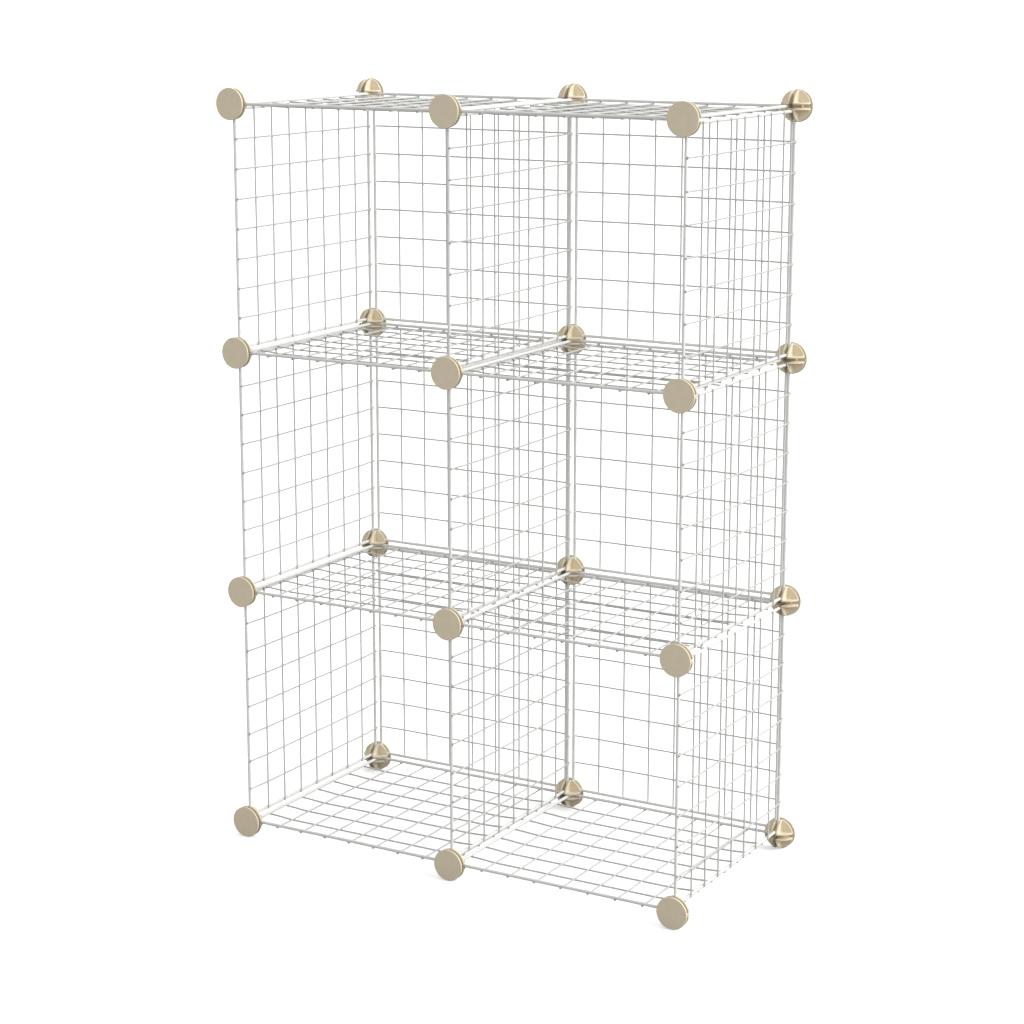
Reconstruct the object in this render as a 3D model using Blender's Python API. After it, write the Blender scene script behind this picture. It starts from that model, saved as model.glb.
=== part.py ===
"""Cube storage unit: square wire-grid panels held together by round snap connectors.

Two cubes wide, three cubes high and one cube deep, open at the front. The connectors stand on a
cubic lattice. A panel spans one square of that lattice, its frame rod lying just inside the
lattice lines. Every connector has an outer disc, a hub and four petals. A petal is three quarter
plates square to each other, like the corner of a box with rounded edges. Panels parallel to the disc
are held in the groove between the disc and the petals, and panels square to it in the cross slot
between the petals.

Metres, +Z up, front towards -Y. The origin is on the floor, under the middle of the unit.
"""

import math

import bmesh
import bpy
from mathutils import Euler, Matrix, Vector
from mathutils.geometry import delaunay_2d_cdt

# Lattice of connector axes
PITCH = 0.310
DEPTH = PITCH

# Panels
PANEL_SIDE = 0.302
FRAME_ROD = 0.004
FRAME_SECTION = 0.0038
FRAME_BEND_RADIUS = 0.008
FRAME_BEND_STEPS = 3
GRID_WIRE = 0.002
GRID_CELLS = 8
GRID_SIDES = 6
LAYER_OFFSET = 0.001
INSIDE_ONLY = 1
MERGE_DISTANCE = 1e-8

# Connectors
DISC_RADIUS = 0.020
DISC_THICKNESS = 0.0025
DISC_SIDES = 20
GRIP_WIDTH = 0.0046
HUB_RADIUS = 0.0085
HUB_SIDES = 8
SLOT_FLOOR = 0.0033
PETAL_RADIUS = 0.0198
PETAL_PLATE = 0.002
PETAL_ARC_STEPS = 3
OVERLAP = 0.001
SAME_POINT = 1e-6

RIGHT_ANGLE = math.pi / 2
SHARP_ANGLE = math.radians(35)
COLUMN_NAMES = ("left", "centre", "right")
CUBE_COLUMN_NAMES = ("left", "right")
LEVEL_NAMES = ("bottom", "lower", "upper", "top")
CUBE_ROW_NAMES = ("lower", "middle", "upper")
SHELF_NAMES = ("bottom_panel", "lower_shelf", "upper_shelf", "top_panel")
WALL_NAMES = ("left_side_panel", "divider_panel", "right_side_panel")


def clear_scene():
    for obj in list(bpy.data.objects):
        bpy.data.objects.remove(obj)


def make_material(name, colour, roughness, metallic):
    material = bpy.data.materials.new(name)
    material.use_nodes = True
    shader = material.node_tree.nodes["Principled BSDF"]
    shader.inputs["Base Color"].default_value = (*colour, 1.0)
    shader.inputs["Roughness"].default_value = roughness
    shader.inputs["Metallic"].default_value = metallic
    material.diffuse_color = (*colour, 1.0)
    return material


def mesh_from_bmesh(name, shape):
    bmesh.ops.recalc_face_normals(shape, faces=shape.faces)
    mesh = bpy.data.meshes.new(name)
    shape.to_mesh(mesh)
    shape.free()
    return mesh


def object_from_bmesh(name, shape):
    obj = bpy.data.objects.new(name, mesh_from_bmesh(name, shape))
    bpy.context.scene.collection.objects.link(obj)
    return obj


def finish_mesh(mesh, material):
    mesh.materials.clear()
    mesh.materials.append(material)
    mesh.shade_smooth()
    mesh.set_sharp_from_angle(angle=SHARP_ANGLE)


def united_mesh(name, base, others, material):
    """The base object with the others joined to it as one closed mesh. All of them are removed."""
    for other in others:
        modifier = base.modifiers.new("join_" + other.name, "BOOLEAN")
        modifier.operation = "UNION"
        modifier.solver = "EXACT"
        modifier.object = other
    bpy.context.view_layer.update()
    graph = bpy.context.evaluated_depsgraph_get()
    mesh = bpy.data.meshes.new_from_object(base.evaluated_get(graph))
    for helper in (base, *others):
        bpy.data.objects.remove(helper)
    mesh.name = name
    finish_mesh(mesh, material)
    return mesh


def rounded_square(half_side, corner_radius, steps):
    """Points round a square with round corners, in the XY plane."""
    centre = half_side - corner_radius
    points = []
    for corner in range(4):
        for step in range(steps + 1):
            angle = (corner + step / steps) * RIGHT_ANGLE
            quadrant = corner * RIGHT_ANGLE + RIGHT_ANGLE / 2
            middle = Vector((math.cos(quadrant), math.sin(quadrant))) * centre * math.sqrt(2)
            points.append(middle + Vector((math.cos(angle), math.sin(angle))) * corner_radius)
    return points


def strip(shape, lower, upper, skipped=()):
    """Joins two rings of vertices with quads, leaving out the segments that start at skipped ones."""
    for index in range(len(lower)):
        following = (index + 1) % len(lower)
        if index not in skipped:
            shape.faces.new((lower[index], lower[following], upper[following], upper[index]))


def fill_around_holes(shape, border, holes, across):
    """Fills a flat upright border with triangles, leaving the holes open. across lies along it.

    A triangle with all its corners on one hole would close that hole, so it is left out.
    """
    loops = [border, *holes]
    verts = [vert for loop in loops for vert in loop]
    owners = [number for number, loop in enumerate(loops) for _ in loop]
    edges = []
    for loop in loops:
        first = len(edges)
        edges += [(first + index, first + (index + 1) % len(loop)) for index in range(len(loop))]
    flat = [Vector((vert.co.dot(across), vert.co.z)) for vert in verts]
    _, _, triangles, sources, _, _ = delaunay_2d_cdt(flat, edges, [], INSIDE_ONLY, MERGE_DISTANCE)
    for triangle in triangles:
        corners = [sources[corner][0] for corner in triangle]
        touched = {owners[corner] for corner in corners}
        if len(touched) > 1:
            shape.faces.new([verts[corner] for corner in corners])


def make_frame_rod(shape):
    """The panel's bent outer rod, open along its straight inner sides.

    Returns the borders of those sides, in the order +Y, -X, -Y, +X.
    """
    half_section = FRAME_SECTION / 2
    centre_line = (PANEL_SIDE - FRAME_ROD) / 2
    rings = []
    for side, height in ((1, -1), (1, 1), (-1, 1), (-1, -1)):
        offset = side * half_section
        outline = rounded_square(centre_line + offset, FRAME_BEND_RADIUS + offset, FRAME_BEND_STEPS)
        rings.append([shape.verts.new((*point, height * half_section)) for point in outline])
    outer_low, outer_high, inner_high, inner_low = rings
    strip(shape, outer_low, outer_high)
    strip(shape, outer_high, inner_high)
    strip(shape, inner_low, outer_low)
    bend_ends = [corner * (FRAME_BEND_STEPS + 1) + FRAME_BEND_STEPS for corner in range(4)]
    strip(shape, inner_high, inner_low, bend_ends)
    borders = []
    for last in bend_ends:
        following = (last + 1) % len(inner_low)
        borders.append([inner_low[last], inner_low[following], inner_high[following], inner_high[last]])
    return borders


def add_wire_layer(shape, along, height, borders):
    """Parallel straight wires from one inner side of the rod to the one across from it."""
    up = Vector((0, 0, 1))
    across = along.cross(up)
    reach = (PANEL_SIDE - FRAME_ROD - FRAME_SECTION) / 2
    cell = (PANEL_SIDE - FRAME_ROD) / GRID_CELLS
    angles = [math.tau * corner / GRID_SIDES for corner in range(GRID_SIDES)]
    section = [(across * math.cos(angle) + up * math.sin(angle)) * GRID_WIRE / 2 for angle in angles]
    holes = [[], []]
    for number in range(1, GRID_CELLS):
        middle = across * (number - GRID_CELLS / 2) * cell + up * height
        for end_holes, end in zip(holes, (along * reach, -along * reach)):
            end_holes.append([shape.verts.new(end + middle + point) for point in section])
        strip(shape, holes[0][-1], holes[1][-1])
    for border, end_holes in zip(borders, holes):
        fill_around_holes(shape, border, end_holes, across)


def make_panel_mesh(material):
    """A flat-sided rod loop with two crossed layers of wires run into it, the X wires uppermost."""
    shape = bmesh.new()
    far_y, near_x, near_y, far_x = make_frame_rod(shape)
    add_wire_layer(shape, Vector((1, 0, 0)), LAYER_OFFSET, (far_x, near_x))
    add_wire_layer(shape, Vector((0, 1, 0)), -LAYER_OFFSET, (far_y, near_y))
    mesh = mesh_from_bmesh("grid_panel", shape)
    finish_mesh(mesh, material)
    return mesh


def make_round_bar(name, radius, sides, start, end):
    """A bar along Y from start to end. The radius is to the middle of a flat, so it stands on one."""
    shape = bmesh.new()
    bmesh.ops.create_cone(
        shape,
        cap_ends=True,
        segments=sides,
        radius1=radius / math.cos(math.pi / sides),
        radius2=radius / math.cos(math.pi / sides),
        depth=end - start,
        matrix=Matrix.Translation((0, (start + end) / 2, 0))
        @ Matrix.Rotation(RIGHT_ANGLE, 4, "X")
        @ Matrix.Rotation(math.pi / sides, 4, "Z"),
    )
    return object_from_bmesh(name, shape)


def add_petal(shape, quadrant):
    """Three quarter plates that meet in a corner by the hub, turned about Y into their quadrant.

    Each plate is worked out in the plane of its first two coordinates, and the coordinates are then
    passed round to give the next plate. Its arc is centred on the lattice point.
    """
    near = GRIP_WIDTH / 2
    far = near + PETAL_PLATE
    tip = math.sqrt(PETAL_RADIUS**2 - near**2)
    start = math.asin(far / PETAL_RADIUS)
    sweep = RIGHT_ANGLE - 2 * start
    angles = [start + sweep * step / PETAL_ARC_STEPS for step in range(PETAL_ARC_STEPS + 1)]
    arc = [(PETAL_RADIUS * math.cos(angle), PETAL_RADIUS * math.sin(angle)) for angle in angles]
    outer = [(*point, near) for point in ((near, near), (tip, near), *arc, (near, tip))]
    inner = [(*point, far) for point in ((far, far), *arc)]
    faces = [outer, inner]
    for first, second in zip(arc, arc[1:]):
        faces.append([(*first, near), (*second, near), (*second, far), (*first, far)])
    faces.append([(tip, near, near), (*arc[0], near), (*arc[0], far)])
    faces.append([(near, tip, near), (*arc[-1], near), (*arc[-1], far)])
    turn = Matrix.Rotation(quadrant * RIGHT_ANGLE, 3, "Y")
    for shift in range(3):
        for face in faces:
            corners = [Vector(point[shift:] + point[:shift]) for point in face]
            shape.faces.new([shape.verts.new(turn @ corner) for corner in corners])


def make_petals():
    shape = bmesh.new()
    for quadrant in range(4):
        add_petal(shape, quadrant)
    bmesh.ops.remove_doubles(shape, verts=shape.verts, dist=SAME_POINT)
    return object_from_bmesh("petals", shape)


def make_connector_mesh(material):
    """A connector with its groove in the XZ plane, its disc towards -Y and its petals towards +Y."""
    inner_face = -GRIP_WIDTH / 2
    disc = make_round_bar("disc", DISC_RADIUS, DISC_SIDES, inner_face - DISC_THICKNESS, inner_face)
    hub = make_round_bar("hub", HUB_RADIUS, HUB_SIDES, inner_face - OVERLAP, SLOT_FLOOR)
    return united_mesh("snap_connector", disc, [hub, make_petals()], material)


def place(name, mesh, parent, location, rotation=(0, 0, 0)):
    obj = bpy.data.objects.new(name, mesh)
    bpy.context.scene.collection.objects.link(obj)
    obj.parent = parent
    obj.location = location
    obj.rotation_euler = Euler(rotation)
    return obj


def column_x(column):
    """Where a column of connectors stands. Half a column further is the middle of a cube."""
    return (column - len(CUBE_COLUMN_NAMES) / 2) * PITCH


def level_z(level):
    """The height of a level of connectors. Half a level further is the middle of a cube."""
    return DISC_RADIUS + level * PITCH


def place_shelves(mesh, unit):
    """Level panels, grid side down, with the wires that run left to right lowest."""
    for level, shelf in enumerate(SHELF_NAMES):
        for column, side in enumerate(CUBE_COLUMN_NAMES):
            location = (column_x(column + 0.5), 0, level_z(level))
            place(f"{shelf}_{side}", mesh, unit, location, (math.pi, 0, 0))


def place_walls(mesh, unit):
    """Upright panels that run front to back, grid side to the right, with level wires outermost."""
    for column, wall in enumerate(WALL_NAMES):
        for row, height in enumerate(CUBE_ROW_NAMES):
            location = (column_x(column), 0, level_z(row + 0.5))
            place(f"{wall}_{height}", mesh, unit, location, (RIGHT_ANGLE, 0, RIGHT_ANGLE))


def place_backs(mesh, unit):
    """Upright panels across the back, grid side to the rear, with level wires outermost."""
    for column, side in enumerate(CUBE_COLUMN_NAMES):
        for row, height in enumerate(CUBE_ROW_NAMES):
            location = (column_x(column + 0.5), DEPTH / 2, level_z(row + 0.5))
            place(f"back_panel_{side}_{height}", mesh, unit, location, (-RIGHT_ANGLE, 0, 0))


def place_connectors(mesh, unit):
    """One at each lattice point, the disc always on the outside."""
    for face, y, turn in (("front", -DEPTH / 2, 0), ("rear", DEPTH / 2, math.pi)):
        for column, side in enumerate(COLUMN_NAMES):
            for level, height in enumerate(LEVEL_NAMES):
                location = (column_x(column), y, level_z(level))
                place(f"{face}_connector_{side}_{height}", mesh, unit, location, (0, 0, turn))


def build():
    clear_scene()
    white_coat = make_material("white_powder_coat", (0.86, 0.86, 0.84), 0.35, 0.0)
    beige_plastic = make_material("beige_plastic", (0.52, 0.45, 0.33), 0.38, 0.0)
    panel_mesh = make_panel_mesh(white_coat)
    connector_mesh = make_connector_mesh(beige_plastic)
    unit = bpy.data.objects.new("storage_unit", None)
    bpy.context.scene.collection.objects.link(unit)
    place_shelves(panel_mesh, unit)
    place_walls(panel_mesh, unit)
    place_backs(panel_mesh, unit)
    place_connectors(connector_mesh, unit)


build()
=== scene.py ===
"""Looks of a wire cube storage unit: white wire-grid panels held together by beige snap connectors.

Laid out as an add-on and run as a script. Each operator makes one group of like pieces around the
frame, whose boxes give every place. Metres, +Z up, front towards -Y.
"""

import math

import bmesh
import bpy
from bpy.props import FloatProperty, FloatVectorProperty, IntProperty, PointerProperty
from mathutils import Euler, Matrix, Vector


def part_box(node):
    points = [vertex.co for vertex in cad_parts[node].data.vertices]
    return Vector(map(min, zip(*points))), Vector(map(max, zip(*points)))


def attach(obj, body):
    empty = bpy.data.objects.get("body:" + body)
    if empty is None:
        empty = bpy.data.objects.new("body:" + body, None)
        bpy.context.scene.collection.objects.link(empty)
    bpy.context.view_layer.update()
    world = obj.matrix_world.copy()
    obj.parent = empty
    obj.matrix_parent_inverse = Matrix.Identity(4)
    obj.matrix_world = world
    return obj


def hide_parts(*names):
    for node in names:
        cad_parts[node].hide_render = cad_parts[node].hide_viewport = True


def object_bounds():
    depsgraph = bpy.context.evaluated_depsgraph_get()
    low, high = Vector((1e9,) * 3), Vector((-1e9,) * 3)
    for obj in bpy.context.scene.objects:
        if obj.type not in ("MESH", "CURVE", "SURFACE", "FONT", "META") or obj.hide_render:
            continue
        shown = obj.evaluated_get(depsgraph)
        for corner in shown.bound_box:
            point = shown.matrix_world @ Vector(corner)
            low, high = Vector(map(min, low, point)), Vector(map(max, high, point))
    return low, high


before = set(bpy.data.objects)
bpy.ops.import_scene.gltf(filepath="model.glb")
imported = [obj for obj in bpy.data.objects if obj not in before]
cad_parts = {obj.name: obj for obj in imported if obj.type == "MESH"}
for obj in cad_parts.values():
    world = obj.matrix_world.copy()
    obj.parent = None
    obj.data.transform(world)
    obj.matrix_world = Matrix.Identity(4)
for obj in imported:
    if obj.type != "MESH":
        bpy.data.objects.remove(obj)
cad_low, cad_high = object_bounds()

bl_info = {
    "name": "Wire Cube Storage Unit",
    "version": (1, 0, 0),
    "blender": (4, 5, 0),
    "location": "3D View > Sidebar > Storage Unit",
    "description": "Wire-grid panels and snap connectors, built around a packed frame",
    "category": "Add Mesh",
}

BODY = "root"
RIGHT_ANGLE = math.pi / 2

# A panel is made lying down with its grid side up. These turns stand it in its plane, by the axis
# that it is thin along: dividers and sides, backs, and shelves with the grid side underneath.
PANEL_TURNS = (
    Euler((RIGHT_ANGLE, 0, RIGHT_ANGLE)),
    Euler((-RIGHT_ANGLE, 0, 0)),
    Euler((math.pi, 0, 0)),
)

# How finely round shapes are cut
ROD_SIDES = 16
BEND_STEPS = 10
WIRE_SIDES = 10
WIRE_POINTS = 42
WELD_SEGMENTS = 10
WELD_RINGS = 6
DISC_STEPS = 72
HUB_STEPS = 40
PETAL_STEPS = 10
EDGE_STEPS = 4
RIB_SIDES = 8
RIB_POINTS = 4
FLOOR_STEPS = 96

# A wire's sheared tip: its length by the wire's thickness, and how much thinner it ends
TIP_LENGTH = 0.15
TIP_TAPER = 0.28

# Weld beads: how flat they are, how far their sizes differ, and how much wider they are on the rod
BEAD_FLATNESS = (1.0, 1.0, 0.5)
SMALLEST_BEAD = (0.85, 0.85, 0.85)
LARGEST_BEAD = (1.12, 1.12, 1.1)
ROD_BEAD_WIDTH = 1.12

# A petal's corners this close are one, and its edges that fold by more than this angle are rounded
MERGE_DISTANCE = 1e-6
SHARP_FOLD = math.radians(40)

# Where a grip rib starts to narrow, by how much, how closely its points crowd towards its tip, and
# how many radii it ends below the petal's edge
RIB_TIP = 0.9
RIB_TAPER = 0.5
RIB_CROWDING = 3.0
RIB_TOP_GAP = 0.8

# Roughness of each finish from its glossiest patches to its dullest, and what a weld adds
COAT_ROUGHNESS = (0.30, 0.42)
PLASTIC_ROUGHNESS = (0.38, 0.5)
WELD_DULLNESS = 0.12

# How much a weld's own colour shows at the least, and the part of a noise's range that tones follow
WELD_SHOW = 0.15
TONE_LOW = 0.36
TONE_HIGH = 0.64

# Azimuth, elevation and width of the soft lights, in degrees
SIDE_LIGHT = (103.0, 25.0, 40.0)
TOP_LIGHT = (180.0, 60.0, 70.0)
FRONT_LIGHT = (0.0, 15.0, 60.0)

# The camera's sensor in millimetres, the floor, and how bright the background looks
SENSOR_WIDTH = 36.0
FLOOR_RADIUS = 60.0
FLOOR_WHITE = 0.94
FLOOR_ROUGHNESS = 0.9
BACKGROUND_LEVEL = 1.1

# Where the mix node keeps its inputs for the share, for two numbers and for two colours, and its
# output for a colour
MIX_SHARE = 0
MIX_NUMBERS = (2, 3)
MIX_COLOURS = (6, 7)
MIXED_COLOUR = 2

# How far apart the panels' random seeds are
SEED_STEP = 10

# Marks that the wirework's mesh carries for its finish, and for the painted shade on its thin wires and
# cut ends
WELD_MARK = "weld"
CUT_MARK = "cut_end"
WIRE_MARK = "thin_wire"


# Settings


class PanelSettings(bpy.types.PropertyGroup):
    rod_diameter: FloatProperty(
        name="Rod Diameter",
        description="Thickness of the bent outer rod with its coating",
        default=0.004, min=0.001, unit="LENGTH", precision=4,
    )
    bend_radius: FloatProperty(
        name="Bend Radius",
        description="Radius of the rod's corners, to its centre line",
        default=0.008, min=0.002, unit="LENGTH", precision=4,
    )
    wire_diameter: FloatProperty(
        name="Wire Diameter",
        description="Thickness of the grid wires with their coating",
        default=0.0022, min=0.0005, unit="LENGTH", precision=4,
    )
    cells: IntProperty(
        name="Cells",
        description="Grid cells along each side of a panel",
        default=8, min=2,
    )
    overhang: FloatProperty(
        name="Overhang",
        description="How far a wire's cut end reaches past the rod's centre line",
        default=0.0014, min=0.0, unit="LENGTH", precision=4,
    )
    set_down: FloatProperty(
        name="Set Down",
        description="How far a wire sinks into the one that it is welded to",
        default=0.0004, min=0.0, unit="LENGTH", precision=4,
    )
    weld_diameter: FloatProperty(
        name="Weld Diameter",
        description="Width of the coated bead round each weld",
        default=0.0038, min=0.0, unit="LENGTH", precision=4,
    )
    unevenness: FloatProperty(
        name="Unevenness",
        description="How far a wire may lie from its true place",
        default=0.0003, min=0.0, unit="LENGTH", precision=4,
    )


class ConnectorSettings(bpy.types.PropertyGroup):
    disc_thickness: FloatProperty(
        name="Disc Thickness",
        description="Thickness of the round outer disc",
        default=0.0025, min=0.001, unit="LENGTH", precision=4,
    )
    disc_edge: FloatProperty(
        name="Disc Edge",
        description="Radius of the disc's rounded edges",
        default=0.0006, min=0.0001, unit="LENGTH", precision=4,
    )
    groove_width: FloatProperty(
        name="Groove Width",
        description="Clear width between the disc and the petals",
        default=0.0046, min=0.001, unit="LENGTH", precision=4,
    )
    slot_width: FloatProperty(
        name="Slot Width",
        description="Width of the cross slots between the ribs",
        default=0.005, min=0.001, unit="LENGTH", precision=4,
    )
    petal_face: FloatProperty(
        name="Petal Face",
        description="Distance from the connector's planes to the hollow side of a petal's plates",
        default=0.0044, min=0.001, unit="LENGTH", precision=4,
    )
    fillet: FloatProperty(
        name="Fillet",
        description="Width of the fillets where a petal's plates meet",
        default=0.0016, min=0.0001, unit="LENGTH", precision=4,
    )
    crest: FloatProperty(
        name="Crest",
        description="Width of the rounding on a petal's outer edges",
        default=0.00045, min=0.0001, unit="LENGTH", precision=4,
    )
    hub_radius: FloatProperty(
        name="Hub Radius",
        description="Radius of the hub at the bottom of the slots",
        default=0.0085, min=0.001, unit="LENGTH", precision=4,
    )
    slot_floor: FloatProperty(
        name="Slot Floor",
        description="Height of the hub over the connector's middle plane",
        default=0.0033, unit="LENGTH", precision=4,
    )
    rib_count: IntProperty(
        name="Ribs",
        description="Grip ribs along one wall of a slot",
        default=5, min=0,
    )
    first_rib: FloatProperty(
        name="First Rib",
        description="Distance from the connector's axis to the nearest rib",
        default=0.0052, min=0.0, unit="LENGTH", precision=4,
    )
    rib_pitch: FloatProperty(
        name="Rib Pitch",
        description="Distance between ribs",
        default=0.0031, min=0.0, unit="LENGTH", precision=4,
    )
    rib_radius: FloatProperty(
        name="Rib Radius",
        description="How far a rib stands out of its wall",
        default=0.0006, min=0.0, unit="LENGTH", precision=4,
    )


class FinishSettings(bpy.types.PropertyGroup):
    coat_colour: FloatVectorProperty(
        name="Coat Colour",
        description="Powder coat on the wirework",
        default=(0.81, 0.805, 0.785), min=0.0, max=1.0, subtype="COLOR",
    )
    coat_shade: FloatVectorProperty(
        name="Coat Shade",
        description="Powder coat where it lies thicker",
        default=(0.765, 0.76, 0.735), min=0.0, max=1.0, subtype="COLOR",
    )
    # Painted shade: the thin wires' coat colour is multiplied by this darker tint, so that they read
    # greyer than the rods
    painted_wire_shade: FloatVectorProperty(
        name="Painted Wire Shade",
        description="What the coat's colour is multiplied by on the thin wires",
        default=(0.75, 0.75, 0.745), min=0.0, max=1.0, subtype="COLOR",
    )
    # Darker coat over the welds
    weld_colour: FloatVectorProperty(
        name="Weld Colour",
        description="Powder coat over a weld, where scale shows through",
        default=(0.46, 0.45, 0.43), min=0.0, max=1.0, subtype="COLOR",
    )
    # Sheared wire ends: partly thinly coated steel, partly painted shade on the small end faces
    cut_steel_and_shade_colour: FloatVectorProperty(
        name="Cut Steel and Shade",
        description="Thinly coated steel at a wire's sheared end",
        default=(0.34, 0.335, 0.325), min=0.0, max=1.0, subtype="COLOR",
    )
    plastic_colour: FloatVectorProperty(
        name="Plastic Colour",
        description="Moulded plastic of the connectors",
        default=(0.815, 0.72, 0.54), min=0.0, max=1.0, subtype="COLOR",
    )
    plastic_shade: FloatVectorProperty(
        name="Plastic Shade",
        description="The plastic's darker flow streaks",
        default=(0.765, 0.67, 0.495), min=0.0, max=1.0, subtype="COLOR",
    )


class StageSettings(bpy.types.PropertyGroup):
    azimuth: FloatProperty(
        name="Azimuth",
        description="How far the camera stands round to the right of the front",
        default=math.radians(30.15), subtype="ANGLE",
    )
    elevation: FloatProperty(
        name="Elevation",
        description="How far the camera looks down",
        default=math.radians(11.53), subtype="ANGLE",
    )
    distance: FloatProperty(
        name="Distance",
        description="From the camera to the middle of the unit",
        default=3.014, min=0.5, unit="LENGTH",
    )
    aim: FloatProperty(
        name="Aim",
        description="How far over the middle of the unit the camera is aimed",
        default=0.0207, unit="LENGTH", precision=3,
    )
    lens: FloatProperty(
        name="Lens",
        description="Focal length for a 36 mm wide sensor",
        default=84.1, min=10.0, unit="CAMERA",
    )
    shift: FloatProperty(
        name="Shift",
        description="Vertical lens shift, as a share of the sensor's width",
        default=-0.05,
    )
    surround: FloatProperty(
        name="Surround",
        description="Brightness of the light that comes from all round",
        default=0.35, min=0.0,
    )
    side_light: FloatProperty(
        name="Side Light",
        description="Strength of the soft light on the right",
        default=3.0, min=0.0,
    )
    top_light: FloatProperty(
        name="Top Light",
        description="Strength of the soft light over the rear",
        default=1.4, min=0.0,
    )
    front_light: FloatProperty(
        name="Front Light",
        description="Strength of the weak fill from the front",
        default=0.95, min=0.0,
    )
    floor_bounce: FloatProperty(
        name="Floor Bounce",
        description="How much light the floor sends back up at the unit",
        default=0.3, min=0.0, max=1.0,
    )
    floor_glow: FloatProperty(
        name="Floor Glow",
        description="Light that is added to the floor's look to thin its shadows",
        default=0.4, min=0.0,
    )


def panel_settings():
    return bpy.context.scene.storage_panels


def connector_settings():
    return bpy.context.scene.storage_connectors


def finish_settings():
    return bpy.context.scene.storage_finishes


def stage_settings():
    return bpy.context.scene.storage_stage


# Node trees


def feed(tree, socket, value):
    """Links a node's first output or a socket to a socket, or sets the socket's own value."""
    if isinstance(value, bpy.types.Node):
        value = value.outputs[0]
    if isinstance(value, bpy.types.NodeSocket):
        tree.links.new(value, socket)
    else:
        socket.default_value = value


def add(tree, kind, inputs=None, **settings):
    """One node with its settings made and its inputs fed, by their names or numbers."""
    node = tree.nodes.new(kind)
    for name, value in settings.items():
        setattr(node, name, value)
    for name, value in (inputs or {}).items():
        feed(tree, node.inputs[name], value)
    return node


def maths(tree, operation, *values):
    """A maths node with its inputs fed in order."""
    node = add(tree, "ShaderNodeMath", operation=operation)
    for socket, value in zip(node.inputs, values):
        feed(tree, socket, value)
    return node


def times(tree, value, factor):
    return maths(tree, "MULTIPLY", value, factor)


def vector(tree, x=0.0, y=0.0, z=0.0):
    return add(tree, "ShaderNodeCombineXYZ", {"X": x, "Y": y, "Z": z})


def circle(tree, sides, radius):
    """A round section for a wire, rod or rib."""
    values = {"Resolution": sides, "Radius": radius}
    return add(tree, "GeometryNodeCurvePrimitiveCircle", values).outputs["Curve"]


def turned(tree, geometry, x=0.0, y=0.0, z=0.0):
    """The geometry turned by these angles about the axes."""
    return add(tree, "GeometryNodeTransform", {"Geometry": geometry, "Rotation": (x, y, z)})


def mix_number(tree, share, first, second):
    """A number between two others."""
    values = {MIX_SHARE: share, MIX_NUMBERS[0]: first, MIX_NUMBERS[1]: second}
    return add(tree, "ShaderNodeMix", values).outputs[0]


def mix_colour(tree, share, first, second, blend="MIX"):
    """The first colour, with the second blended over it by the share."""
    values = {MIX_SHARE: share, MIX_COLOURS[0]: first, MIX_COLOURS[1]: second}
    node = add(tree, "ShaderNodeMix", values, data_type="RGBA", blend_type=blend)
    return node.outputs[MIXED_COLOUR]


def spread(tree, share, low, high):
    """A number that goes from low to high as the share goes from 0 to 1."""
    return add(tree, "ShaderNodeMapRange", {"Value": share, "To Min": low, "To Max": high})


def join(tree, *parts):
    node = add(tree, "GeometryNodeJoinGeometry")
    for part in parts:
        feed(tree, node.inputs["Geometry"], part)
    return node


def add_mark(tree, geometry, name, value):
    """Stores a value on the geometry under a name that a material can read."""
    return add(
        tree,
        "GeometryNodeStoreNamedAttribute",
        {"Geometry": geometry, "Name": name, "Value": value},
        data_type="FLOAT",
        domain="POINT",
    )


def new_group(name, kind, inputs, outputs):
    """An empty node group with named sockets, and its input and output nodes."""
    group = bpy.data.node_groups.new(name, kind)
    for label, socket_type in inputs.items():
        group.interface.new_socket(label, in_out="INPUT", socket_type=socket_type)
    for label, socket_type in outputs.items():
        group.interface.new_socket(label, in_out="OUTPUT", socket_type=socket_type)
    return group, add(group, "NodeGroupInput"), add(group, "NodeGroupOutput")


def grown_mesh(name, seed_object, group, values):
    """The plain mesh that the object's modifiers and a geometry node group make of it."""
    modifier = seed_object.modifiers.new(group.name, "NODES")
    modifier.node_group = group
    for item in group.interface.items_tree:
        if item.item_type == "SOCKET" and item.in_out == "INPUT" and item.name in values:
            modifier[item.identifier] = values[item.name]
    normals = seed_object.modifiers.new("Even Normals", "WEIGHTED_NORMAL")
    normals.keep_sharp = True
    bpy.context.scene.collection.objects.link(seed_object)
    bpy.context.view_layer.update()
    graph = bpy.context.evaluated_depsgraph_get()
    mesh = bpy.data.meshes.new_from_object(seed_object.evaluated_get(graph))
    bpy.data.objects.remove(seed_object)
    mesh.name = name
    if not mesh.polygons:
        raise RuntimeError(f"{name} came out with no faces")
    return mesh


# Wirework


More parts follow.
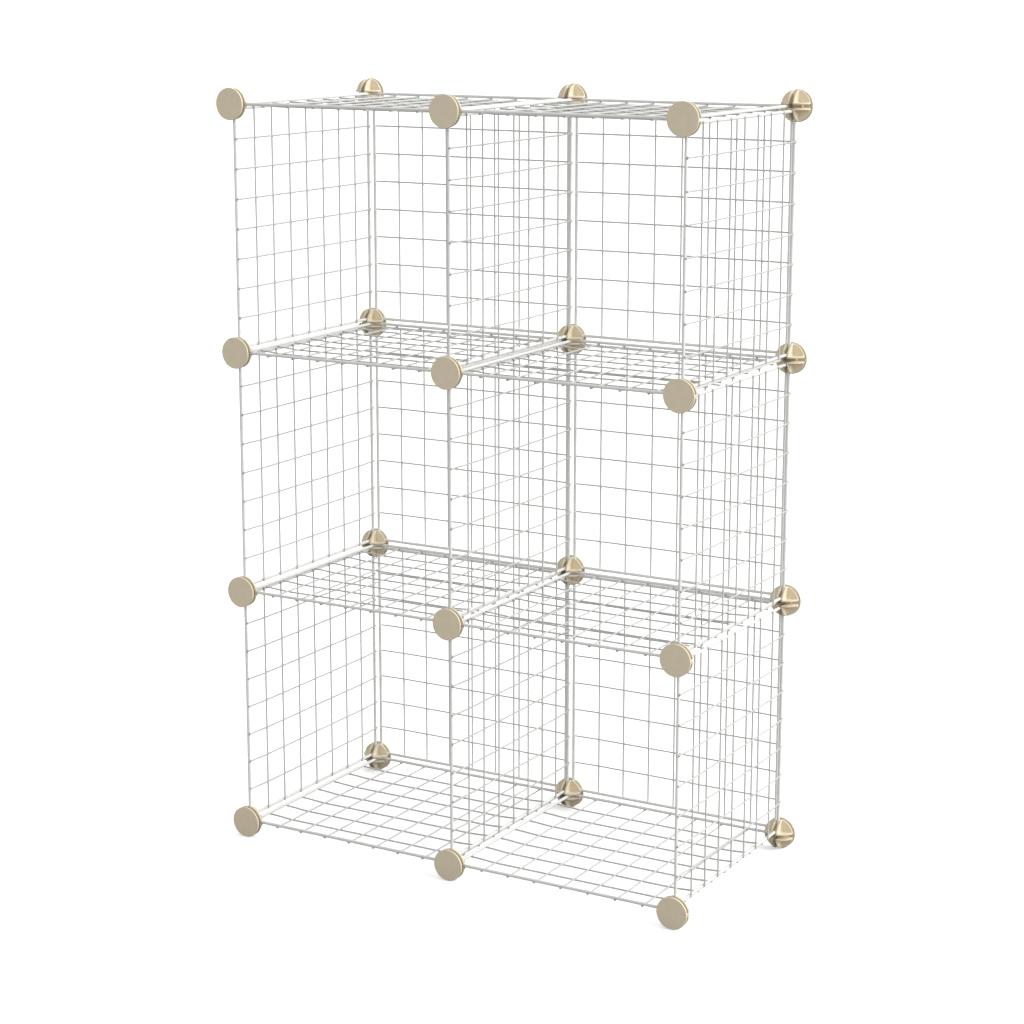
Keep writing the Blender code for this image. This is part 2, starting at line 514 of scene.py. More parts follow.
def lapped_wire_group():
    """A straight wire along Y that dips from its crossings' height to the rods at its ends."""
    group, given, result = new_group(
        "Lapped Wire",
        "GeometryNodeTree",
        {
            "Rod Spacing": "NodeSocketFloat",
            "Overhang": "NodeSocketFloat",
            "Wire Diameter": "NodeSocketFloat",
            "Dip Length": "NodeSocketFloat",
            "Crossing Height": "NodeSocketFloat",
            "Rod Height": "NodeSocketFloat",
        },
        {"Wire": "NodeSocketGeometry"},
    )
    sizes = {socket.name: socket for socket in given.outputs}
    last = WIRE_POINTS - 1
    tip = times(group, sizes["Wire Diameter"], TIP_LENGTH)
    half_rods = times(group, sizes["Rod Spacing"], 0.5)
    reach = maths(group, "SUBTRACT", maths(group, "ADD", half_rods, sizes["Overhang"]), tip)
    index = add(group, "GeometryNodeInputIndex")
    inner = add(group, "ShaderNodeClamp", {"Value": index, "Min": 1.0, "Max": last - 1.0})
    beyond = maths(group, "SUBTRACT", index, inner)
    inner_place = add(
        group,
        "ShaderNodeMapRange",
        {
            "Value": inner,
            "From Min": 1.0,
            "From Max": last - 1.0,
            "To Min": times(group, reach, -1.0),
            "To Max": reach,
        },
    )
    along = maths(group, "ADD", inner_place, times(group, beyond, tip))
    height = add(
        group,
        "ShaderNodeMapRange",
        {
            "Value": maths(group, "ABSOLUTE", along),
            "From Min": maths(group, "SUBTRACT", half_rods, sizes["Dip Length"]),
            "From Max": half_rods,
            "To Min": sizes["Crossing Height"],
            "To Max": sizes["Rod Height"],
        },
        interpolation_type="SMOOTHSTEP",
    )
    at_end = maths(group, "ABSOLUTE", beyond)
    line = add(group, "GeometryNodeCurvePrimitiveLine", {"End": (0.0, 1.0, 0.0)})
    points = add(group, "GeometryNodeResampleCurve", {"Curve": line, "Count": WIRE_POINTS})
    laid = add(
        group,
        "GeometryNodeSetPosition",
        {"Geometry": points, "Position": vector(group, y=along, z=height)},
    )
    marked = add_mark(group, add_mark(group, laid, CUT_MARK, at_end), WIRE_MARK, 1.0)
    taper = maths(group, "SUBTRACT", 1.0, times(group, at_end, TIP_TAPER))
    section = circle(group, WIRE_SIDES, times(group, sizes["Wire Diameter"], 0.5))
    wire = add(
        group,
        "GeometryNodeCurveToMesh",
        {"Curve": marked, "Profile Curve": section, "Scale": taper, "Fill Caps": True},
    )
    feed(group, result.inputs["Wire"], wire)
    return group


def random_vector(tree, least, most, seed):
    """A vector for each point, drawn between two others."""
    values = {0: least, 1: most, "Seed": seed}
    return add(tree, "FunctionNodeRandomValue", values, data_type="FLOAT_VECTOR")


def add_beads(tree, points, width, seed):
    """Flattened beads of coated weld on the given points, none quite like another."""
    radius = times(tree, width, 0.5)
    ball = add(
        tree,
        "GeometryNodeMeshUVSphere",
        {"Segments": WELD_SEGMENTS, "Rings": WELD_RINGS, "Radius": radius},
    )
    flat = add(tree, "GeometryNodeTransform", {"Geometry": ball, "Scale": BEAD_FLATNESS})
    bead = add_mark(tree, flat, WELD_MARK, 1.0)
    size = random_vector(tree, SMALLEST_BEAD, LARGEST_BEAD, seed)
    return add(
        tree, "GeometryNodeInstanceOnPoints", {"Points": points, "Instance": bead, "Scale": size}
    )


def add_wire_layer(tree, wire_group, sizes, row, height, seed, turn):
    """A row of like wires, each a little out of its true place, turned into its direction."""
    shared = ("Rod Spacing", "Overhang", "Wire Diameter", "Rod Height")
    values = {name: sizes[name] for name in shared}
    values["Dip Length"] = sizes["Cell"]
    values["Crossing Height"] = height
    wire = add(tree, "GeometryNodeGroup", values, node_tree=wire_group)
    most = sizes["Unevenness"]
    least = times(tree, most, -1.0)
    stray = random_vector(tree, vector(tree, least, least), vector(tree, most, most), seed)
    places = add(tree, "GeometryNodeSetPosition", {"Geometry": row, "Offset": stray})
    layer = add(tree, "GeometryNodeInstanceOnPoints", {"Points": places, "Instance": wire})
    return turned(tree, layer, z=turn)


def grid_panel_group():
    """A whole panel lying flat: the bent rod, two layers of wires lapped over it, and the welds."""
    group, given, result = new_group(
        "Grid Panel",
        "GeometryNodeTree",
        {
            "Rod Spacing": "NodeSocketFloat",
            "Bend Radius": "NodeSocketFloat",
            "Rod Diameter": "NodeSocketFloat",
            "Wire Diameter": "NodeSocketFloat",
            "Cells": "NodeSocketInt",
            "Overhang": "NodeSocketFloat",
            "Set Down": "NodeSocketFloat",
            "Weld Diameter": "NodeSocketFloat",
            "Unevenness": "NodeSocketFloat",
            "Seed": "NodeSocketInt",
            "Material": "NodeSocketMaterial",
        },
        {"Panel": "NodeSocketGeometry"},
    )
    sizes = {socket.name: socket for socket in given.outputs}
    spacing = sizes["Rod Spacing"]
    seed = sizes["Seed"]
    rod_radius = times(group, sizes["Rod Diameter"], 0.5)
    wire_radius = times(group, sizes["Wire Diameter"], 0.5)

    square = add(
        group, "GeometryNodeCurvePrimitiveQuadrilateral", {"Width": spacing, "Height": spacing}
    )
    bent = add(
        group,
        "GeometryNodeFilletCurve",
        {"Curve": square, "Count": BEND_STEPS, "Radius": sizes["Bend Radius"]},
        mode="POLY",
    )
    section = circle(group, ROD_SIDES, rod_radius)
    rod = add(group, "GeometryNodeCurveToMesh", {"Curve": bent, "Profile Curve": section})

    touching = maths(group, "ADD", rod_radius, wire_radius)
    first_height = maths(group, "SUBTRACT", touching, sizes["Set Down"])
    step_up = maths(group, "SUBTRACT", sizes["Wire Diameter"], sizes["Set Down"])
    second_height = maths(group, "ADD", first_height, step_up)
    cell = maths(group, "DIVIDE", spacing, sizes["Cells"])
    wires = maths(group, "SUBTRACT", sizes["Cells"], 1.0)
    span = times(group, cell, maths(group, "SUBTRACT", wires, 1.0))
    start = times(group, span, -0.5)
    row = add(
        group,
        "GeometryNodeMeshLine",
        {"Count": wires, "Start Location": vector(group, start), "Offset": vector(group, cell)},
    )
    sizes["Cell"] = cell
    sizes["Rod Height"] = first_height
    wire_group = lapped_wire_group()
    next_seed = maths(group, "ADD", seed, 1.0)
    first_layer = add_wire_layer(group, wire_group, sizes, row, first_height, seed, 0.0)
    second_layer = add_wire_layer(
        group, wire_group, sizes, row, second_height, next_seed, RIGHT_ANGLE
    )

    crossing_height = times(group, maths(group, "ADD", first_height, second_height), 0.5)
    grid = add(
        group,
        "GeometryNodeMeshGrid",
        {"Size X": span, "Size Y": span, "Vertices X": wires, "Vertices Y": wires},
    )
    crossings = add(
        group,
        "GeometryNodeTransform",
        {"Geometry": grid, "Translation": vector(group, z=crossing_height)},
    )
    crossing_welds = add_beads(group, crossings, sizes["Weld Diameter"], seed)
    half_rods = times(group, spacing, 0.5)
    seam_height = maths(group, "SUBTRACT", rod_radius, times(group, sizes["Set Down"], 0.5))
    rod_row = add(
        group,
        "GeometryNodeTransform",
        {"Geometry": row, "Translation": vector(group, y=half_rods, z=seam_height)},
    )
    rod_bead_width = times(group, sizes["Weld Diameter"], ROD_BEAD_WIDTH)
    rod_welds = add_beads(group, rod_row, rod_bead_width, next_seed)
    parts = [rod, first_layer, second_layer, crossing_welds]
    parts += [turned(group, rod_welds, z=side * RIGHT_ANGLE) for side in range(4)]
    whole = add(group, "GeometryNodeRealizeInstances", {"Geometry": join(group, *parts)})
    smooth = add(group, "GeometryNodeSetShadeSmooth", {"Geometry": whole})
    coat = {"Geometry": smooth, "Material": sizes["Material"]}
    coated = add(group, "GeometryNodeSetMaterial", coat)
    feed(group, result.inputs["Panel"], coated)
    return group


def box_size(node):
    low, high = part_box(node)
    return high - low


def thin_axis(node):
    size = box_size(node)
    return min(range(3), key=lambda axis: size[axis])


def panel_nodes(axis):
    """The names of the panels that are thin along an axis."""
    names = [name for name in sorted(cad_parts) if "connector" not in name]
    found = [name for name in names if thin_axis(name) == axis]
    if not found:
        raise RuntimeError(f"the frame holds no panel that is thin along axis {axis}")
    return found


def finish_piece(name, mesh, node):
    """Puts a finished mesh in the scene in place of its frame node."""
    piece = bpy.data.objects.new(name, mesh)
    bpy.context.scene.collection.objects.link(piece)
    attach(piece, BODY)
    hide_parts(node)
    return piece


def add_panels(axis):
    """Every panel that is thin along an axis, each with its own small unevenness."""
    settings = panel_settings()
    group = bpy.data.node_groups.get("Grid Panel") or grid_panel_group()
    order = sorted(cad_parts)
    for node in panel_nodes(axis):
        low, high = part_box(node)
        size = high - low
        values = {
            "Rod Spacing": max(size) - min(size),
            "Bend Radius": settings.bend_radius,
            "Rod Diameter": settings.rod_diameter,
            "Wire Diameter": settings.wire_diameter,
            "Cells": settings.cells,
            "Overhang": settings.overhang,
            "Set Down": settings.set_down,
            "Weld Diameter": settings.weld_diameter,
            "Unevenness": settings.unevenness,
            "Seed": SEED_STEP * order.index(node),
            "Material": powder_coat(),
        }
        start = bpy.data.objects.new(node + "_start", bpy.data.meshes.new(node + "_start"))
        mesh = grown_mesh(node + "_wirework", start, group, values)
        turn = PANEL_TURNS[axis].to_matrix().to_4x4()
        mesh.transform(Matrix.Translation((low + high) / 2) @ turn)
        finish_piece(node + "_wirework", mesh, node)


# Connectors


def arc(middle, radius, start, steps=EDGE_STEPS):
    """Points on a quarter circle from an angle, the way that a profile runs."""
    angles = [start + RIGHT_ANGLE * step / steps for step in range(steps + 1)]
    return [(middle[0] + radius * math.cos(a), middle[1] + radius * math.sin(a)) for a in angles]


def add_turned(shape, profile, steps):
    """A closed solid turned about Y, from points of radius and Y that start and end on the axis."""
    angles = [math.tau * step / steps for step in range(steps)]
    rings = []
    for radius, y in profile[1:-1]:
        points = [(radius * math.cos(a), y, radius * math.sin(a)) for a in angles]
        rings.append([shape.verts.new(point) for point in points])
    for lower, upper in zip(rings, rings[1:]):
        for step in range(steps):
            after = (step + 1) % steps
            shape.faces.new((lower[step], lower[after], upper[after], upper[step]))
    for ring, (_, y) in ((rings[0], profile[0]), (rings[-1], profile[-1])):
        pole = shape.verts.new((0, y, 0))
        for step in range(steps):
            shape.faces.new((pole, ring[step], ring[(step + 1) % steps]))


def add_disc(shape, radius, settings):
    inner = -settings.groove_width / 2
    outer = inner - settings.disc_thickness
    edge = settings.disc_edge
    halfway = radius / 2
    profile = [(0, outer), (halfway, outer)]
    profile += arc((radius - edge, outer + edge), edge, -RIGHT_ANGLE)
    profile += arc((radius - edge, inner - edge), edge, 0)
    profile += [(halfway, inner), (0, inner)]
    add_turned(shape, profile, DISC_STEPS)


def add_hub(shape, settings):
    """The hub reaches a little into the disc, so that the two are one moulding."""
    foot = -settings.groove_width / 2 - settings.disc_edge
    edge = settings.disc_edge
    radius = settings.hub_radius
    profile = [(0, foot), (radius, foot)]
    profile += arc((radius - edge, settings.slot_floor - edge), edge, 0)
    profile += [(0, settings.slot_floor)]
    add_turned(shape, profile, HUB_STEPS)


def petal_faces(near, far, radius):
    """The faces of one petal: three quarter plates, each square to one axis, that meet by the hub.

    near holds the outer side of each plate along its own axis, and far is the hollow side of all.
    """
    tip = math.sqrt(radius**2 - max(near) ** 2)
    start = math.asin(far / radius)
    sweep = RIGHT_ANGLE - 2 * start
    angles = [start + sweep * step / PETAL_STEPS for step in range(PETAL_STEPS + 1)]
    faces = []
    for across in range(3):
        first = (across + 1) % 3
        second = (across + 2) % 3

        def at(along_first, along_second, depth):
            point = Vector()
            point[first] = along_first
            point[second] = along_second
            point[across] = depth
            return point

        low = near[across]
        outer = [at(radius * math.cos(a), radius * math.sin(a), low) for a in angles]
        inner = [at(radius * math.cos(a), radius * math.sin(a), far) for a in angles]
        first_tip = at(tip, near[second], low)
        second_tip = at(near[first], tip, low)
        faces.append([at(near[first], near[second], low), first_tip, *outer, second_tip])
        faces.append([at(far, far, far), *inner])
        faces += [list(quad) for quad in zip(outer, outer[1:], inner[1:], inner)]
        faces.append([first_tip, outer[0], inner[0]])
        faces.append([second_tip, outer[-1], inner[-1]])
    return faces


def add_petals(shape, radius, settings):
    """The four petals, with their hollow corners marked for wide fillets and their crests for small."""
    slot = settings.slot_width / 2
    near = (slot, settings.groove_width / 2, slot)
    faces = petal_faces(near, settings.petal_face, radius)
    petals = bmesh.new()
    for quadrant in range(4):
        turn = Matrix.Rotation(quadrant * RIGHT_ANGLE, 3, "Y")
        for face in faces:
            petals.faces.new([petals.verts.new(turn @ corner) for corner in face])
    bmesh.ops.remove_doubles(petals, verts=petals.verts, dist=MERGE_DISTANCE)
    bmesh.ops.recalc_face_normals(petals, faces=petals.faces)
    weight = petals.edges.layers.float.new("bevel_weight_edge")
    for edge in petals.edges:
        angle = edge.calc_face_angle_signed()
        if angle < -SHARP_FOLD:
            edge[weight] = 1.0
        elif angle > SHARP_FOLD:
            edge[weight] = settings.crest / settings.fillet
    mesh = bpy.data.meshes.new("petals")
    petals.to_mesh(mesh)
    petals.free()
    shape.from_mesh(mesh)
    bpy.data.meshes.remove(mesh)


def connector_body(radius, reach):
    """The connector without its ribs, disc towards -Y, with the widths of its edges marked."""
    settings = connector_settings()
    shape = bmesh.new()
    add_disc(shape, radius, settings)
    add_hub(shape, settings)
    bmesh.ops.recalc_face_normals(shape, faces=shape.faces)
    add_petals(shape, reach, settings)
    for face in shape.faces:
        face.smooth = True
    mesh = bpy.data.meshes.new("connector_body")
    shape.to_mesh(mesh)
    shape.free()
    obj = bpy.data.objects.new("connector_body", mesh)
    bevel = obj.modifiers.new("Rounded Edges", "BEVEL")
    bevel.limit_method = "WEIGHT"
    bevel.width = settings.fillet
    bevel.segments = EDGE_STEPS
    bevel.use_clamp_overlap = False
    return obj


def grip_rib_group():
    """Adds the rows of upright grip ribs on both walls of the cross slots to a connector."""
    group, given, result = new_group(
        "Grip Ribs",
        "GeometryNodeTree",
        {
            "Connector": "NodeSocketGeometry",
            "Rib Count": "NodeSocketInt",
            "First Rib": "NodeSocketFloat",
            "Rib Pitch": "NodeSocketFloat",
            "Rib Radius": "NodeSocketFloat",
            "Wall": "NodeSocketFloat",
            "Foot": "NodeSocketFloat",
            "Petal Radius": "NodeSocketFloat",
            "Material": "NodeSocketMaterial",
        },
        {"Connector": "NodeSocketGeometry"},
    )
    sizes = {socket.name: socket for socket in given.outputs}
    line = add(group, "GeometryNodeCurvePrimitiveLine", {"End": (0.0, 1.0, 0.0)})
    points = add(group, "GeometryNodeResampleCurve", {"Curve": line, "Count": RIB_POINTS})
    share = add(group, "GeometryNodeSplineParameter").outputs["Factor"]
    remaining = maths(group, "POWER", maths(group, "SUBTRACT", 1.0, share), RIB_CROWDING)
    spaced = add(
        group,
        "GeometryNodeSetPosition",
        {"Geometry": points, "Position": vector(group, y=maths(group, "SUBTRACT", 1.0, remaining))},
    )
    at_tip = maths(group, "GREATER_THAN", share, RIB_TIP)
    taper = maths(group, "SUBTRACT", 1.0, times(group, at_tip, RIB_TAPER))
    section = circle(group, RIB_SIDES, sizes["Rib Radius"])
    rib = add(
        group,
        "GeometryNodeCurveToMesh",
        {"Curve": spaced, "Profile Curve": section, "Scale": taper, "Fill Caps": True},
    )
    step = vector(group, sizes["Rib Pitch"])
    rows = []
    for side in (1.0, -1.0):
        wall = times(group, sizes["Wall"], side)
        start = vector(group, sizes["First Rib"], sizes["Foot"], wall)
        row = {"Count": sizes["Rib Count"], "Start Location": start, "Offset": step}
        rows.append(add(group, "GeometryNodeMeshLine", row))
    place = add(group, "ShaderNodeSeparateXYZ", {"Vector": add(group, "GeometryNodeInputPosition")})
    radius_squared = times(group, sizes["Petal Radius"], sizes["Petal Radius"])
    out_squared = times(group, place.outputs["X"], place.outputs["X"])
    crest = maths(group, "SQRT", maths(group, "SUBTRACT", radius_squared, out_squared))
    top_gap = times(group, sizes["Rib Radius"], RIB_TOP_GAP)
    shortening = maths(group, "ADD", sizes["Foot"], top_gap)
    length = maths(group, "SUBTRACT", crest, shortening)
    arm = add(
        group,
        "GeometryNodeInstanceOnPoints",
        {"Points": join(group, *rows), "Instance": rib, "Scale": vector(group, 1.0, length, 1.0)},
    )
    ribs = [turned(group, arm, y=quadrant * RIGHT_ANGLE) for quadrant in range(4)]
    real = add(group, "GeometryNodeRealizeInstances", {"Geometry": join(group, *ribs)})
    smooth = add(group, "GeometryNodeSetShadeSmooth", {"Geometry": real})
    plastic = {"Geometry": join(group, sizes["Connector"], smooth), "Material": sizes["Material"]}
    moulded = add(group, "GeometryNodeSetMaterial", plastic)
    feed(group, result.inputs["Connector"], moulded)
    return group


def add_connectors(face):
    """The connectors of one face of the unit, with their discs on the outside."""
    settings = connector_settings()
    nodes = [name for name in sorted(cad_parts) if name.startswith(face + "_connector")]
    if not nodes:
        raise RuntimeError(f"the frame holds no connector on the {face}")
    group = bpy.data.node_groups.get("Grip Ribs") or grip_rib_group()
    disc_side = settings.groove_width / 2 + settings.disc_thickness
    size = box_size(nodes[0])
    radius = size.x / 2
    reach = size.y - disc_side
    values = {
        "Rib Count": settings.rib_count,
        "First Rib": settings.first_rib,
        "Rib Pitch": settings.rib_pitch,
        "Rib Radius": settings.rib_radius,
        "Wall": settings.slot_width / 2,
        "Foot": settings.groove_width / 2,
        "Petal Radius": reach,
        "Material": moulded_plastic(),
    }
    pattern = grown_mesh("connector_pattern", connector_body(radius, reach), group, values)
    for node in nodes:
        low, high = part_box(node)
        middle = (low + high) / 2
        if face == "front":
            middle.y = low.y + disc_side
            turn = Matrix.Identity(4)
        else:
            middle.y = high.y - disc_side
            turn = Matrix.Rotation(math.pi, 4, "Z")
        mesh = pattern.copy()
        mesh.name = node + "_moulding"
        mesh.transform(Matrix.Translation(middle) @ turn)
        finish_piece(mesh.name, mesh, node)
    bpy.data.meshes.remove(pattern)


# Finishes


def noise(tree, place, scale, detail):
    values = {"Vector": place, "Scale": scale, "Detail": detail}
    return add(tree, "ShaderNodeTexNoise", values).outputs[0]


def relief_group():
    """Height of a surface with a coarse waviness and a fine grain."""
    name = "Surface Relief"
    if name in bpy.data.node_groups:
        return bpy.data.node_groups[name]
    group, given, result = new_group(
        name,
        "ShaderNodeTree",
        {
            "Vector": "NodeSocketVector",
            "Coarse Scale": "NodeSocketFloat",
            "Fine Scale": "NodeSocketFloat",
            "Fine Share": "NodeSocketFloat",
        },
        {"Height": "NodeSocketFloat"},
    )
    values = given.outputs
    coarse = noise(group, values["Vector"], values["Coarse Scale"], detail=1.0)
    fine = noise(group, values["Vector"], values["Fine Scale"], detail=2.0)
    feed(group, result.inputs["Height"], mix_number(group, values["Fine Share"], coarse, fine))
    return group


def tone_group():
    """Soft variation between two colours, with the mask that it follows."""
    name = "Tone Variation"
    if name in bpy.data.node_groups:
        return bpy.data.node_groups[name]
    group, given, result = new_group(
        name,
        "ShaderNodeTree",
        {
            "Vector": "NodeSocketVector",
            "Scale": "NodeSocketFloat",
            "Speck Scale": "NodeSocketFloat",
            "Speck Share": "NodeSocketFloat",
            "Light": "NodeSocketColor",
            "Dark": "NodeSocketColor",
        },
        {"Colour": "NodeSocketColor", "Mask": "NodeSocketFloat"},
    )
    values = given.outputs
    cloud = noise(group, values["Vector"], values["Scale"], detail=3.0)
    speck = noise(group, values["Vector"], values["Speck Scale"], detail=1.0)
    both = mix_number(group, values["Speck Share"], cloud, speck)
    limits = {"Value": both, "From Min": TONE_LOW, "From Max": TONE_HIGH}
    mask = add(group, "ShaderNodeMapRange", limits)
    colour = mix_colour(group, mask, values["Light"], values["Dark"])
    feed(group, result.inputs["Colour"], colour)
    feed(group, result.inputs["Mask"], mask)
    return group


def new_material(name):
    """A material with its node tree and its shader."""
    material = bpy.data.materials.new(name)
    material.use_nodes = True
    return material, material.node_tree, material.node_tree.nodes["Principled BSDF"]


def opaque(colour):
    return (*colour, 1.0)


def grey(level):
    return (level, level, level, 1.0)


def add_relief(tree, shader, place, coarse, fine, share, strength, distance):
    """Bump on the whole surface from the relief group, with this finish's own values."""
    values = {"Vector": place, "Coarse Scale": coarse, "Fine Scale": fine, "Fine Share": share}
    relief = add(tree, "ShaderNodeGroup", values, node_tree=relief_group())
    bump = {"Strength": strength, "Distance": distance, "Height": relief}
    feed(tree, shader.inputs["Normal"], add(tree, "ShaderNodeBump", bump))


def add_tone(tree, place, scale, speck_scale, speck_share, light, dark):
    """The tone group between two colours, with this finish's own values."""
    values = {
        "Vector": place,
        "Scale": scale,
        "Speck Scale": speck_scale,
        "Speck Share": speck_share,
        "Light": opaque(light),
        "Dark": opaque(dark),
    }
    return add(tree, "ShaderNodeGroup", values, node_tree=tone_group())


def read_mark(tree, name):
    """What a mark on the mesh holds."""
    return add(tree, "ShaderNodeAttribute", attribute_name=name).outputs["Fac"]


def powder_coat():
    """White powder coat with a faint orange peel, darker and duller over welds, with painted shade on
    the thin wires, and darker sheared wire ends that are partly thin coat and partly painted shade.
    """
    name = "White Powder Coat"
    if name in bpy.data.materials:
        return bpy.data.materials[name]
    settings = finish_settings()
    material, tree, shader = new_material(name)
    place = add(tree, "ShaderNodeTexCoord").outputs["Object"]
    tone = add_tone(
        tree,
        place,
        scale=60.0,
        speck_scale=1600.0,
        speck_share=0.3,
        light=settings.coat_colour,
        dark=settings.coat_shade,
    )
    mask = tone.outputs["Mask"]
    weld = read_mark(tree, WELD_MARK)
    thin = read_mark(tree, WIRE_MARK)
    cut = read_mark(tree, CUT_MARK)
    # The coat is darker over the welds, by the tone's mask
    weld_darkening = times(tree, weld, maths(tree, "ADD", mask, WELD_SHOW))
    # Painted shade on the thin wires, multiplied into the coat's colour
    coat = mix_colour(tree, thin, tone.outputs["Colour"], opaque(settings.painted_wire_shade), "MULTIPLY")
    over_weld = mix_colour(tree, weld_darkening, coat, opaque(settings.weld_colour))
    # The sheared ends are darkened, partly for thin coat over steel and partly as painted shade
    at_cut = mix_colour(tree, cut, over_weld, opaque(settings.cut_steel_and_shade_colour))
    feed(tree, shader.inputs["Base Color"], at_cut)
    coat_roughness = spread(tree, mask, *COAT_ROUGHNESS)
    roughness = maths(tree, "ADD", coat_roughness, times(tree, weld, WELD_DULLNESS))
    feed(tree, shader.inputs["Roughness"], roughness)
    add_relief(
        tree, shader, place, coarse=700.0, fine=3600.0, share=0.35, strength=0.35, distance=0.0002
    )
    return material


def moulded_plastic():
    """Beige moulded plastic with a fine satin grain."""
    name = "Beige Moulded Plastic"
    if name in bpy.data.materials:
        return bpy.data.materials[name]
    settings = finish_settings()
    material, tree, shader = new_material(name)
    place = add(tree, "ShaderNodeTexCoord").outputs["Object"]
    tone = add_tone(
        tree,
        place,
        scale=130.0,
        speck_scale=1500.0,
        speck_share=0.45,
        light=settings.plastic_colour,
        dark=settings.plastic_shade,
    )
    feed(tree, shader.inputs["Base Color"], tone.outputs["Colour"])
    roughness = spread(tree, tone.outputs["Mask"], *PLASTIC_ROUGHNESS)
    feed(tree, shader.inputs["Roughness"], roughness)
    add_relief(
        tree, shader, place, coarse=1400.0, fine=5200.0, share=0.55, strength=0.3, distance=0.00015
    )
    return material


def pale_floor():
    """White floor that sends only part of its light back up at the unit."""
    settings = stage_settings()
    material, tree, shader = new_material("Pale Floor")
    seen = add(tree, "ShaderNodeLightPath").outputs["Is Camera Ray"]
    colour = mix_colour(tree, seen, grey(settings.floor_bounce), grey(FLOOR_WHITE))
    feed(tree, shader.inputs["Base Color"], colour)
    feed(tree, shader.inputs["Emission Color"], mix_colour(tree, seen, grey(0.0), grey(1.0)))
    shader.inputs["Emission Strength"].default_value = settings.floor_glow
    shader.inputs["Roughness"].default_value = FLOOR_ROUGHNESS
    shader.inputs["Specular IOR Level"].default_value = 0.0
    return material


# Stage


def direction(azimuth, elevation):
    """From the unit towards a place round it. Azimuth 0 is in front and grows to the right."""
    return Vector(
        (
            math.sin(azimuth) * math.cos(elevation),
            -math.cos(azimuth) * math.cos(elevation),
            math.sin(elevation),
        )
    )


def add_sun(name, place, strength):
    """A soft light far away. Its place holds its azimuth, elevation and width in degrees."""
    azimuth, elevation, width = [math.radians(angle) for angle in place]
    light = bpy.data.lights.new(name, "SUN")
    light.energy = strength
    light.angle = width
    sun = bpy.data.objects.new(name, light)
    bpy.context.scene.collection.objects.link(sun)
    sun.rotation_euler = direction(azimuth, elevation).to_track_quat("Z", "Y").to_euler()


def add_surround(strength):
    """Even light from all round, and a white background where the camera looks past the floor."""
    world = bpy.data.worlds.new("Studio")
    bpy.context.scene.world = world
    world.use_nodes = True
    tree = world.node_tree
    seen = add(tree, "ShaderNodeLightPath").outputs["Is Camera Ray"]
    background = tree.nodes["Background"]
    feed(tree, background.inputs["Strength"], spread(tree, seen, strength, BACKGROUND_LEVEL))
    background.inputs["Color"].default_value = grey(1.0)


def add_floor():
    shape = bmesh.new()
    bmesh.ops.create_circle(shape, cap_ends=True, segments=FLOOR_STEPS, radius=FLOOR_RADIUS)
    mesh = bpy.data.meshes.new("floor")
    shape.to_mesh(mesh)
    shape.free()
    mesh.transform(Matrix.Translation((0, 0, cad_low.z)))
    mesh.materials.append(pale_floor())
    floor = bpy.data.objects.new("floor", mesh)
    bpy.context.scene.collection.objects.link(floor)


def add_camera(settings):
    lens = bpy.data.cameras.new("Camera")
    lens.sensor_width = SENSOR_WIDTH
    lens.lens = settings.lens
    lens.shift_y = settings.shift
    camera = bpy.data.objects.new("Camera", lens)
    bpy.context.scene.collection.objects.link(camera)
    middle = (cad_low + cad_high) / 2
    aim = Vector((middle.x, middle.y, middle.z + settings.aim))
    back = direction(settings.azimuth, settings.elevation)
    camera.location = aim + back * settings.distance
    camera.rotation_euler = (-back).to_track_quat("-Z", "Y").to_euler()
    bpy.context.scene.camera = camera


# Operators


class AddShelves(bpy.types.Operator):
    """Adds the level panels, grid side underneath"""

    bl_idname = "storage_unit.add_shelves"
    bl_label = "Add Shelves"
    bl_options = {"REGISTER", "UNDO"}

    def execute(self, context):
        add_panels(2)
        return {"FINISHED"}


class AddWalls(bpy.types.Operator):
    """Adds the side panels and dividers, grid side to the right"""

    bl_idname = "storage_unit.add_walls"
    bl_label = "Add Sides and Dividers"
    bl_options = {"REGISTER", "UNDO"}

    def execute(self, context):
        add_panels(0)
        return {"FINISHED"}


class AddBacks(bpy.types.Operator):
    """Adds the back panels, grid side to the rear"""

    bl_idname = "storage_unit.add_backs"
    bl_label = "Add Backs"
    bl_options = {"REGISTER", "UNDO"}

    def execute(self, context):
        add_panels(1)
        return {"FINISHED"}


class AddFrontConnectors(bpy.types.Operator):
    """Adds the snap connectors on the front, discs to the front"""

    bl_idname = "storage_unit.add_front_connectors"
    bl_label = "Add Front Connectors"
    bl_options = {"REGISTER", "UNDO"}

    def execute(self, context):
        add_connectors("front")
        return {"FINISHED"}


class AddRearConnectors(bpy.types.Operator):
    """Adds the snap connectors on the rear, discs to the rear"""

    bl_idname = "storage_unit.add_rear_connectors"
    bl_label = "Add Rear Connectors"
    bl_options = {"REGISTER", "UNDO"}

    def execute(self, context):
        add_connectors("rear")
        return {"FINISHED"}


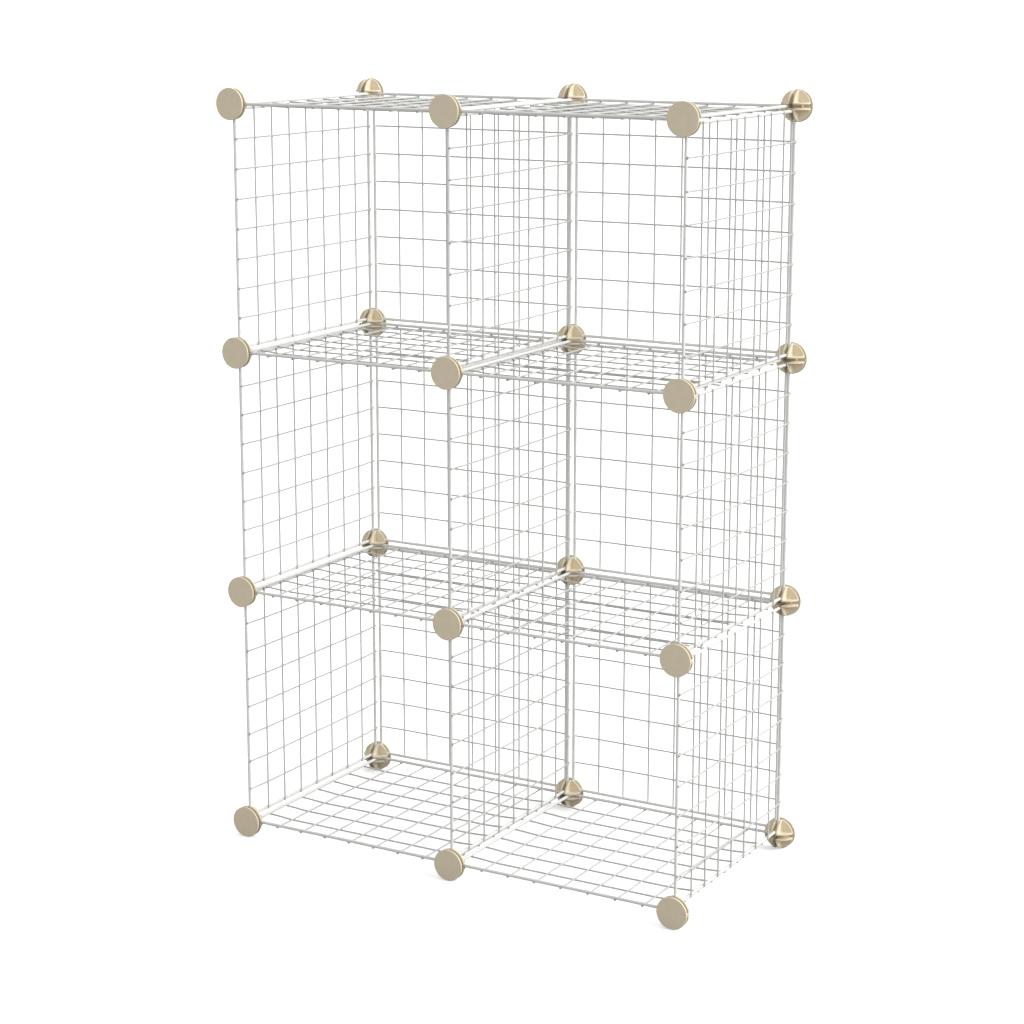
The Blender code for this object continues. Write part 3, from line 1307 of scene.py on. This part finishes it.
class AddStage(bpy.types.Operator):
    """Adds the pale floor, the soft lights and the camera"""

    bl_idname = "storage_unit.add_stage"
    bl_label = "Add Stage"
    bl_options = {"REGISTER", "UNDO"}

    def execute(self, context):
        settings = stage_settings()
        context.scene.view_settings.view_transform = "Standard"
        add_floor()
        add_surround(settings.surround)
        add_sun("Side Light", SIDE_LIGHT, settings.side_light)
        add_sun("Top Light", TOP_LIGHT, settings.top_light)
        add_sun("Front Light", FRONT_LIGHT, settings.front_light)
        add_camera(settings)
        return {"FINISHED"}


class StorageUnitPanel(bpy.types.Panel):
    """Lists the settings and the operators in the sidebar"""

    bl_idname = "VIEW3D_PT_storage_unit"
    bl_label = "Wire Cube Storage Unit"
    bl_space_type = "VIEW_3D"
    bl_region_type = "UI"
    bl_category = "Storage Unit"

    def draw(self, context):
        layout = self.layout
        for settings in SETTINGS:
            group = getattr(context.scene, settings)
            column = layout.column(align=True)
            for name in group.bl_rna.properties.keys():
                if name not in ("rna_type", "name"):
                    column.prop(group, name)
        for operator in PIECE_OPERATORS:
            layout.operator(operator.bl_idname)


SETTINGS = {
    "storage_panels": PanelSettings,
    "storage_connectors": ConnectorSettings,
    "storage_finishes": FinishSettings,
    "storage_stage": StageSettings,
}
PIECE_OPERATORS = (AddStage, AddShelves, AddWalls, AddBacks, AddFrontConnectors, AddRearConnectors)


def register():
    for cls in (*SETTINGS.values(), *PIECE_OPERATORS, StorageUnitPanel):
        bpy.utils.register_class(cls)
    for name, cls in SETTINGS.items():
        setattr(bpy.types.Scene, name, PointerProperty(type=cls))


def unregister():
    for name in SETTINGS:
        delattr(bpy.types.Scene, name)
    for cls in (StorageUnitPanel, *PIECE_OPERATORS[::-1], *SETTINGS.values()):
        bpy.utils.unregister_class(cls)


def main():
    register()
    bpy.ops.storage_unit.add_stage()
    bpy.ops.storage_unit.add_shelves()
    bpy.ops.storage_unit.add_walls()
    bpy.ops.storage_unit.add_backs()
    bpy.ops.storage_unit.add_front_connectors()
    bpy.ops.storage_unit.add_rear_connectors()


if __name__ == "__main__":
    main()
